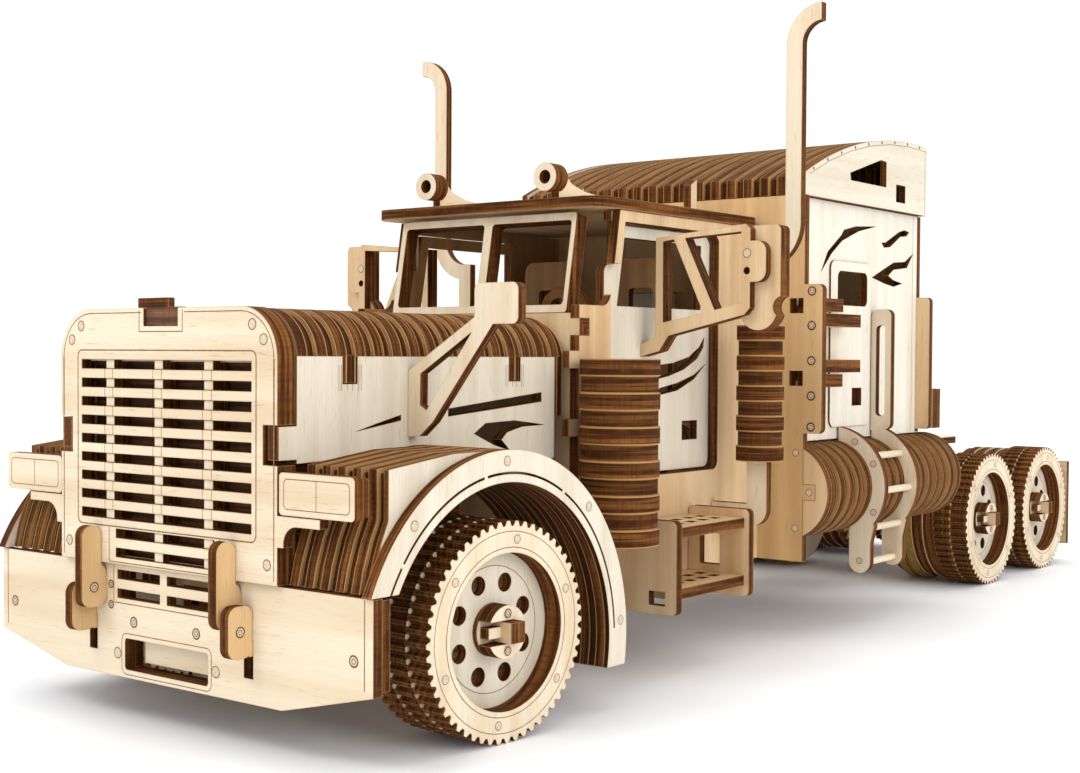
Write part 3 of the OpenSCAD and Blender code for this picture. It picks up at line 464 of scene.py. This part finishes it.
class Sheet:
    """Flat drawing on one face: strips, rings and discs, drawn in the face's own two axes.

    level is the face's place along axis, out the side it looks to; pivot is a steered wheel's kingpin.
    """

    def __init__(self, name, node, axis, level, out=1, pivot=None):
        self.name, self.node, self.axis, self.level, self.out = name, node, axis, level, out
        self.pivot = pivot
        self.ink = LINE_SLOT
        self.mesh = bmesh.new()

    def point(self, a, b, lift=0.0):
        level = self.level + self.out * (PROUD + lift)
        spot = {X: (level, a, b), Y: (a, level, b), Z: (a, b, level)}[self.axis]
        if self.pivot is None:
            return place(*spot)
        x, y = spot[0] - self.pivot, spot[1] - KINGPIN_Y
        c, s = math.cos(STEER), math.sin(STEER)
        return place(self.pivot + c * x - s * y, KINGPIN_Y + s * x + c * y, spot[2])

    def quad(self, corners, slot, lift=0.0):
        verts = [self.mesh.verts.new(self.point(a, b, lift)) for a, b in corners]
        self.mesh.faces.new(verts).material_index = slot

    def strip(self, points, width, closed=False, lift=0.0):
        """Line of even width through the points."""
        count = len(points)
        sides = []
        for i in range(count):
            here = Vector(points[i])
            before = Vector(points[i - 1]) if i or closed else None
            after = Vector(points[(i + 1) % count]) if i < count - 1 or closed else None
            run_in = (here - before).normalized() if before is not None else None
            run_out = (after - here).normalized() if after is not None else None
            run_in = run_in or run_out
            run_out = run_out or run_in
            middle = (run_in + run_out).normalized()
            reach = width / 2 / max(0.5, middle.dot(run_out))
            offset = Vector((-middle.y, middle.x)) * reach
            sides.append((here + offset, here - offset))
        for i in range(count if closed else count - 1):
            a, b = sides[i], sides[(i + 1) % count]
            self.quad([a[0], a[1], b[1], b[0]], self.ink, lift)

    def arc(self, a, b, radius, start, end, width, lift=0.0):
        """Line along an arc, from one angle in degrees to another."""
        steps = max(6, int(abs(end - start) / 7))
        closed = abs(end - start) >= 360
        count = steps if closed else steps + 1
        turn = [math.radians(start + (end - start) * i / steps) for i in range(count)]
        self.strip([(a + radius * math.cos(t), b + radius * math.sin(t)) for t in turn], width, closed, lift)

    def disc(self, a, b, radius, slot, lift=0.01):
        turn = [2 * math.pi * i / 24 for i in range(24)]
        self.quad([(a + radius * math.cos(t), b + radius * math.sin(t)) for t in turn], slot, lift)

    def peg(self, a, b, radius=1.05, ring=0.2):
        """End of a round peg let into the plate, inside its burnt ring."""
        strong = ring > 0.25
        self.ink = SOOT_AND_SHADE_SLOT if strong else LINE_SLOT
        self.disc(a, b, radius, PEG_SLOT, 0.02)
        self.arc(a, b, radius + 0.08, 0, 360, ring, 0.03)
        if strong:
            self.arc(a, b, radius * 0.5, 0, 360, 0.13, 0.04)
        self.ink = LINE_SLOT

    def box(self, a0, b0, a1, b1, width, radius):
        """Line round a rectangle with rounded corners."""
        points = []
        for ca, cb, start in ((a1 - radius, b0 + radius, -90), (a1 - radius, b1 - radius, 0),
                              (a0 + radius, b1 - radius, 90), (a0 + radius, b0 + radius, 180)):
            for i in range(5):
                t = math.radians(start + 22.5 * i)
                points.append((ca + radius * math.cos(t), cb + radius * math.sin(t)))
        self.strip(points, width, True)

    def done(self):
        """Turn the drawing into an object that rides on its node's body."""
        data = bpy.data.meshes.new(self.name)
        bmesh.ops.recalc_face_normals(self.mesh, faces=self.mesh.faces)
        facing = Vector((0, 0, 0))
        facing[self.axis] = self.out
        for face in self.mesh.faces:
            if face.normal.dot(facing) < 0:
                face.normal_flip()
        self.mesh.to_mesh(data)
        self.mesh.free()
        for material in (LINE, PEG, SOOT_AND_SHADE):
            data.materials.append(material)
        obj = bpy.data.objects.new(self.name, data)
        bpy.context.scene.collection.objects.link(obj)
        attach(obj, BODY_OF[self.node])


def edge_of(node, axis, high):
    """Level of a node's outer face in millimetres, in the same units as place()."""
    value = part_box(node)[1 if high else 0][axis]
    return (value - (NOSE_Y if axis == Y else 0.0)) / MM


def engrave_bumper():
    bumper = Sheet("bumper_engraving", "bumper", Y, edge_of("bumper", Y, False), -1)
    bend_bottom, top = 16.4, 33.2
    for x in (-56.2, 55.8):
        bumper.strip([(x, bend_bottom), (x, top)], 0.22)
    for x, z in ((-10.9, 21.6), (9.0, 21.5), (-53.4, 21.8), (53.1, 21.6)):
        bumper.peg(x, z, 0.95, 0.28)
    for x in (-16.3, 14.9):
        bumper.peg(x, 14.6)
    # round the blank number board, and the plate above it
    bumper.box(-14.9, 10.4, 13.6, 19, 0.18, 1.5)
    plate_left, plate_right, plate_bottom = -17.6, 15.0, 25.2
    bumper.strip([(plate_left, top), (plate_left, plate_bottom),
                  (plate_right, plate_bottom), (plate_right, top)], 0.2)
    for x in (-18.5, 18.2):
        for z in (28.9, 24.6):
            bumper.peg(x, z, 0.7, 0.26)
    bumper.done()


def engrave_grille():
    grille = Sheet("grille_engraving", "grille_frame", Y, edge_of("grille_frame", Y, False), -1)
    # rim inside the plate's edge: up one side, round the corner and in to the latch
    rim_x, rim_bottom, rim_top, rim_end, corner = 33.1, 34.4, 85.9, 6.8, 9.3
    outline = [(-rim_x, rim_bottom), (-rim_x, rim_top - corner)]
    for i in range(9):
        t = math.radians(180 - 11.25 * i)
        outline.append((-rim_x + corner + corner * math.cos(t), rim_top - corner + corner * math.sin(t)))
    outline.append((-rim_end, rim_top))
    grille.strip(outline, 0.2)
    grille.strip([(-x, z) for x, z in outline], 0.2)
    # round the slats, the lower slats and the latch's seat
    grille.box(-28.1, 41.4, 28.1, 78.2, 0.26, 1.3)
    grille.strip([(-17.4, 41.2), (-17.4, 34), (17.6, 34), (17.6, 41.2)], 0.2)
    grille.strip([(-7.4, 86.4), (-7.4, 82), (6.3, 82), (6.3, 86.4)], 0.2)
    # each slat's joints with the uprights
    first_slat, slat_height, slat_pitch, joint_half = 44.9, 1.92, 3.92, 1.35
    for x in (-17.5, -1.6, 13.8):
        for i in range(8):
            low = first_slat + slat_pitch * i
            for dx in (-joint_half, joint_half):
                grille.strip([(x + dx, low), (x + dx, low + slat_height)], 0.13)
    for s in (-1, 1):
        for x, z in ((27.0, 83.3), (30.2, 80.4), (31.2, 37.4)):
            grille.peg(s * x, z, 0.95)
    grille.done()


def shade_behind_grille():
    """Painted shade: a smoke-dark sheet behind the slats, so that no daylight shows between them."""
    dark = Sheet("grille_painted_shade", "grille_frame", Y, 3.5, -1)
    bottom, middle, top = 34.6, 42.6, 77.4
    for half, low, high in ((28, middle, top), (19.4, bottom, middle)):
        dark.quad([(-half, low), (half, low), (half, high), (-half, high)], SOOT_AND_SHADE_SLOT)
    dark.done()


def engrave_headlights():
    bottom, top, inner, middle, outer = 48.4, 54.1, 35.6, 44.3, 53.0
    for side, s in SIDES:
        node = f"headlight_{side}"
        lamp = Sheet(f"{node}_engraving", node, Y, edge_of(node, Y, False), -1)
        low_x, high_x = sorted((s * inner, s * outer))
        lamp.box(low_x, bottom, high_x, top, 0.16, 0.9)
        lamp.strip([(s * middle, bottom), (s * middle, top)], 0.14)
        lamp.done()


def engrave_fenders():
    arch_y, arch_z, arch_radius = 37.6, 16.7, 39.9
    for side, s in SIDES:
        node = f"fender_{side}"
        sheet = Sheet(f"{node}_engraving", node, X, s * edge_of("fender_left", X, True), s)
        for angle in (4, 46, 90, 133):
            t = math.radians(angle)
            sheet.peg(arch_y + arch_radius * math.cos(t), arch_z + arch_radius * math.sin(t), 0.9, 0.12)
        sheet.done()


def engrave_wheel(node, x, y, s, pivot=None):
    """Rings and pegs of the tyre's face, edge of the dish, and painted shade on the floors of the hand
    holes.
    """
    outer_ring, inner_ring, peg_circle = 20.2, 17.0, 18.6
    dish_edge, hole_circle, hole_radius = 12.9, 9.9, 1.9
    face = Sheet(f"{node}_engraving", node, X, x, s, pivot)
    face.arc(y, AXLE_Z, outer_ring, 0, 360, 0.15)
    face.arc(y, AXLE_Z, inner_ring, 0, 360, 0.17)
    for k in range(6):
        t = math.radians(60 * k + 22)
        face.peg(y + peg_circle * math.cos(t), AXLE_Z + peg_circle * math.sin(t), 0.8, 0.12)
    for z in (18.5, 26.1):
        face.peg(y, z, 0.75, 0.26)
    face.done()
    dish = Sheet(f"{node}_dish", node, X, x - s * DISH_DEPTH, s, pivot)
    dish.arc(y, AXLE_Z, dish_edge, 0, 360, 0.16)
    dish.done()
    # painted shade: dark discs in the burnt-edge colour at the floors of the hand holes
    holes = Sheet(f"{node}_holes", node, X, x - s * HOLE_DEPTH, s, pivot)
    for k in range(8):
        t = math.radians(45 * k + 22.5)
        holes.disc(y + hole_circle * math.cos(t), AXLE_Z + hole_circle * math.sin(t), hole_radius, SOOT_AND_SHADE_SLOT)
    holes.done()


def engrave_wheels():
    for side, s in SIDES:
        engrave_wheel(f"front_wheel_{side}", s * FRONT_FACE, KINGPIN_Y, s, s * KINGPIN_X)
        for row, y in REAR_AXLES:
            engrave_wheel(f"rear_wheel_{side}_{row}", s * REAR_FACE, y, s)


def engrave_bunk(side, s):
    """Upright line behind the bunk door, on the outer face of the sleeper's side."""
    wall = Sheet(f"sleeper_side_engraving_{side}", f"sleeper_side_{side}", X, s * 46.5, s)
    wall.strip([(253.8, 54.4), (253.8, 121.6)], 0.16)
    wall.done()


def engrave_hood(side, s):
    """Kerfs round the panel's two tabs: long beside each tab, short inside it."""
    bottom, long_top, short_top = 70.4, 75.5, 71.7
    kerfs = ((-1.3, long_top), (-0.6, long_top), (1.1, short_top), (2.5, short_top), (4.2, long_top),
             (4.9, long_top))
    skin = s * edge_of("hood_panel_left", X, True)
    panel = Sheet(f"hood_panel_engraving_{side}", f"hood_panel_{side}", X, skin, s)
    for y in (16.2, 68.3):
        for dy, top in kerfs:
            panel.strip([(y + dy, top), (y + dy, bottom)], 0.12)
    panel.done()


def engrave_crown(side, s):
    """Arched roof board: a line along its lower edge, one upright, and the ends of the tie pegs."""
    arch_y, arch_z, line_radius, peg_circle = 248.6, -21.9, 164.4, 165.0
    skin = s * edge_of("sleeper_roof", X, True)
    crown = Sheet(f"roof_board_engraving_{side}", "sleeper_roof", X, skin, s)
    crown.arc(arch_y, arch_z, line_radius, 86.6, 114.2, 0.16)
    crown.strip([(257.5, 122.6), (257.5, 142.2)], 0.16)
    for k in range(9):
        t = math.radians(88.4 + 3.1 * k)
        crown.disc(arch_y + peg_circle * math.cos(t), arch_z + peg_circle * math.sin(t), 0.42, SOOT_AND_SHADE_SLOT)
    crown.done()


def engrave_fittings(side, s):
    """Pegs of the door mirror, the bumper guard and the ladder's strap."""
    board = Sheet(f"mirror_engraving_{side}", f"mirror_{side}", Y, 120.8, -1)
    board.peg(s * 64.25, 102.3, 0.95)
    board.done()
    # the guards' near faces, of which the right one's peg sits higher
    level, height = (25.8, 24.2) if side == "left" else (-20.0, 28.4)
    guard = Sheet(f"guard_engraving_{side}", f"bumper_guard_{side}", X, level, 1)
    guard.peg(-3.2, height, 0.9, 0.26)
    guard.done()
    strap = Sheet(f"ladder_engraving_{side}", f"ladder_{side}", Y, 203, -1)
    for x, z in ((52.4, 53.3), (58.2, 47.2), (58.4, 33.4), (54.2, 19.2)):
        strap.peg(s * x, z, 0.8, 0.2)
    strap.done()


def engrave_cross_wall():
    """Pegs down each wing of the wall behind the cab."""
    level = edge_of("sleeper_front_wall", Y, False)
    wall = Sheet("sleeper_wall_engraving", "sleeper_front_wall", Y, level, -1)
    for s in (-1, 1):
        for z in (95.5, 86.1, 76.5, 66.9, 58.4):
            wall.peg(s * 52.5, z, 1.0, 0.42)
        for x, z in ((48.0, 51.2), (52.2, 40.5), (48.0, 30.4)):
            wall.peg(s * x, z, 0.85)
    wall.done()


# ---------------------------------------------------------------- stage, light, camera


def make_floor():
    """White sheet, a hair below the wheels."""
    mesh = bmesh.new()
    bmesh.ops.create_grid(mesh, x_segments=2, y_segments=2, size=6.0)
    data = bpy.data.meshes.new("floor")
    mesh.to_mesh(data)
    mesh.free()
    data.materials.append(paper_floor())
    floor = bpy.data.objects.new("floor", data)
    floor.location = (0, 0, -0.00002)
    bpy.context.scene.collection.objects.link(floor)


def area_light(name, where, target, size, power, colour=(1, 1, 1)):
    """Round soft light aimed at a point; places and size in metres, power in watts."""
    data = bpy.data.lights.new(name, "AREA")
    data.shape = "DISK"
    data.size = size
    data.energy = power
    data.color = colour
    lamp = bpy.data.objects.new(name, data)
    lamp.location = where
    lamp.rotation_euler = (Vector(target) - Vector(where)).to_track_quat("-Z", "Y").to_euler()
    bpy.context.scene.collection.objects.link(lamp)


def make_light():
    """White surroundings, a key from ahead of the camera's side, and two weaker fills."""
    world = bpy.data.worlds.new("studio")
    bpy.context.scene.world = world
    world.use_nodes = True
    background = world.node_tree.nodes["Background"]
    background.inputs[0].default_value = (1.0, 1.0, 1.0, 1.0)
    background.inputs[1].default_value = 1.06
    area_light("key", (-0.35, -1.15, 1.25), (0, 0, 0.05), 0.6, 7.0, (1.0, 0.99, 0.97))
    area_light("side", (1.5, -0.35, 0.75), (0, 0, 0.06), 0.9, 6.5)
    area_light("top", (0.1, 0.5, 1.5), (0, 0, 0.05), 1.2, 4.0)


def make_camera():
    """Low three-quarter view from ahead of the left headlight, turned slightly about its own axis."""
    # worked out from the photograph, with the lens and the shift below
    yaw, pitch, roll = (math.radians(a) for a in (-37.859, -1.455, 0.330))
    where = place(250.54, -199.12, 77.84)
    ahead = Vector((math.sin(yaw) * math.cos(pitch), math.cos(yaw) * math.cos(pitch), math.sin(pitch)))
    right = ahead.cross(Vector((0, 0, 1))).normalized()
    up = right.cross(ahead)
    across = right * math.cos(roll) + up * math.sin(roll)
    above = up * math.cos(roll) - right * math.sin(roll)
    data = bpy.data.cameras.new("photo_view")
    data.lens = 51.11
    data.sensor_width = 36.0
    data.sensor_fit = "HORIZONTAL"
    data.shift_y = 0.0062
    data.clip_start = 0.01
    data.clip_end = 20.0
    camera = bpy.data.objects.new("photo_view", data)
    turn = Matrix((across, above, -ahead)).transposed().to_4x4()
    camera.matrix_world = Matrix.Translation(where) @ turn
    bpy.context.scene.collection.objects.link(camera)
    bpy.context.scene.camera = camera


make_camera()
dress_frame()
engrave_bumper()
engrave_grille()
shade_behind_grille()
engrave_headlights()
engrave_fenders()
engrave_wheels()
for side_name, sign in SIDES:
    engrave_bunk(side_name, sign)
    engrave_hood(side_name, sign)
    engrave_crown(side_name, sign)
    engrave_fittings(side_name, sign)
engrave_cross_wall()
make_floor()
make_light()
bpy.context.scene.view_settings.view_transform = "Standard"
